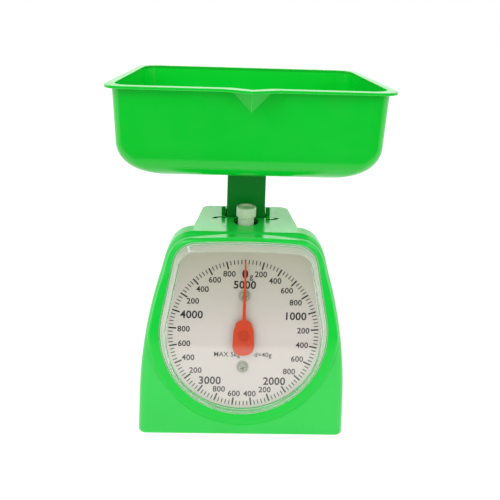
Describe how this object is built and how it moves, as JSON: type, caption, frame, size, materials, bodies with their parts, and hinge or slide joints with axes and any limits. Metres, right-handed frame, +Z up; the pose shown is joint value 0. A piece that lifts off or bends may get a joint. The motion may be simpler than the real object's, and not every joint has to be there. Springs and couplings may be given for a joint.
{
  "type": "mechanical dial platform scale",
  "caption": "Spring platform scale with a round dial, a rack driven pointer, a zero knob and a lift-off rectangular pan on a post.",
  "frame": {"origin": "on the ground, on the axis of the post that carries the pan", "axes": "+Z up, the dial faces -Y, +X is to the viewer's right when reading the dial"},
  "size_m": [0.1826, 0.1512, 0.238],
  "materials": {
    "green_plastic": "glossy moulded polystyrene, bright green",
    "base_plastic": "satin moulded plastic, darker green",
    "white_plastic": "satin moulded plastic, cream white",
    "clear_plastic": "clear polished polystyrene",
    "dial_card": "white sheet with printed scale",
    "pointer_plastic": "orange-red moulded plastic",
    "rack_plastic": "natural acetal",
    "rubber": "black rubber",
    "zinc_steel": "zinc plated pressed steel",
    "bright_steel": "bright plated steel",
    "spring_steel": "oiled spring wire",
    "dark_steel": "blackened steel",
    "brass": "turned brass"
  },
  "bodies": {
    "base_unit": {"housing": "green_plastic", "base_plate": "base_plastic", "rubber_feet": "rubber", "base_screws": "bright_steel", "stop_bumper": "rubber", "chassis_frame": "zinc_steel", "chassis_screws": "bright_steel", "shaft_bush": "brass", "pinion_bridge": "zinc_steel", "bridge_screws": "bright_steel", "dial_plate": "dial_card", "dial_washers": "dark_steel", "dial_screws": "bright_steel", "lens": "clear_plastic", "lower_rear_pin": "bright_steel", "upper_rear_pin": "bright_steel", "rear_clips": "bright_steel", "left_spring": "spring_steel", "right_spring": "spring_steel"},
    "lower_lever_link": {"lower_lever": "zinc_steel"},
    "upper_lever_link": {"upper_lever": "zinc_steel"},
    "load_carrier": {"carrier": "zinc_steel", "spring_beam": "zinc_steel", "beam_screws": "bright_steel", "rack": "rack_plastic", "rack_screws": "bright_steel", "lower_front_pin": "bright_steel", "upper_front_pin": "bright_steel", "front_clips": "bright_steel", "post": "green_plastic", "post_screws": "bright_steel", "platform": "green_plastic", "platform_screw": "bright_steel"},
    "weighing_pan": {"pan": "green_plastic"},
    "dial_pointer": {"pointer": "pointer_plastic", "pointer_shaft": "bright_steel", "pinion": "brass"},
    "zero_adjuster": {"zero_knob": "white_plastic", "zero_screw": "bright_steel", "screw_clip": "bright_steel"},
    "spring_anchor": {"spring_hanger": "zinc_steel"}
  },
  "joints": [
    {"name": "lower_lever_swing", "type": "hinge", "parent": "base_unit", "child": "lower_lever_link", "pos_m": [0, 0.031, 0.028], "axis": [1, 0, 0], "range_deg": [0, 21.56], "stiffness_Nm_per_rad": 5.5, "springref_deg": -1.15, "deforming": ["left_spring", "right_spring"]},
    {"name": "carrier_level", "type": "hinge", "parent": "lower_lever_link", "child": "load_carrier", "pos_m": [0, -0.01026, 0.03585], "axis": [1, 0, 0], "range_deg": [-22.5, 1]},
    {"name": "upper_lever_swing", "type": "hinge", "parent": "base_unit", "child": "upper_lever_link", "pos_m": [0, 0.031, 0.084], "axis": [1, 0, 0], "range_deg": [-1, 22.5]},
    {"name": "pointer_turn", "type": "hinge", "parent": "base_unit", "child": "dial_pointer", "pos_m": [0, -0.03, 0.0685], "axis": [0, 1, 0], "range_deg": [-5, 370]},
    {"name": "hanger_shift", "type": "slide", "parent": "base_unit", "child": "spring_anchor", "axis": [0, 0, 1], "range_m": [-0.0021, 0.0021]},
    {"name": "zero_knob_turn", "type": "hinge", "parent": "base_unit", "child": "zero_adjuster", "pos_m": [0, -0.0185, 0.12], "axis": [0, 0, 1], "range_deg": [-1090, 1090]},
    {"name": "pan_lift", "type": "slide", "parent": "load_carrier", "child": "weighing_pan", "axis": [0, 0, 1], "range_m": [0, 0.06]}
  ],
  "couplings": [
    {"joint": "carrier_level", "follows": "lower_lever_swing", "ratio": -1},
    {"joint": "upper_lever_swing", "follows": "lower_lever_swing", "ratio": 1},
    {"joint": "pointer_turn", "follows": "lower_lever_swing", "ratio": 16.701},
    {"joint": "zero_knob_turn", "follows": "hanger_shift", "rad_per_m": -8976}
  ]
}
